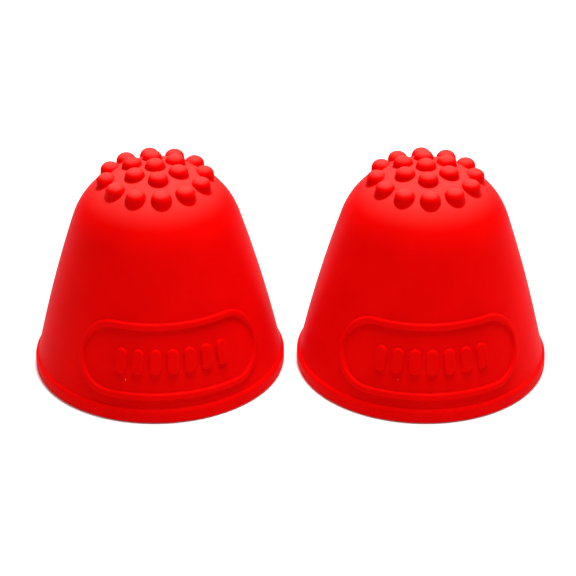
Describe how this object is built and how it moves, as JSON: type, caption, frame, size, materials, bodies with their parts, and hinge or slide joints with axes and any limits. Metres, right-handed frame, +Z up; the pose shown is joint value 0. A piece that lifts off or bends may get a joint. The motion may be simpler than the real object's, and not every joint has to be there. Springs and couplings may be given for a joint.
{
  "type": "silicone massage cup pair",
  "caption": "Pair of bell-shaped silicone massage cups with a nubbed crown, a beaded rim and a raised grip panel, standing side by side on their open rims.",
  "frame": {"origin": "on the floor plane, midway between the two cups' axes", "axes": "+X along the line of the cups towards the right cup, +Y away from the grip panels, +Z up from the rims to the crowns"},
  "size_m": [0.1434, 0.07, 0.0627],
  "materials": {
    "silicone_red": "satin-matte moulded silicone, one saturated red"
  },
  "bodies": {
    "left_cup": {"left_cup": "silicone_red"},
    "right_cup": {"right_cup": "silicone_red"}
  },
  "joints": [
    {"name": "right_cup_lift", "type": "slide", "parent": "left_cup", "child": "right_cup", "axis": [0, 0, 1], "range_m": [0, 0.08]}
  ]
}
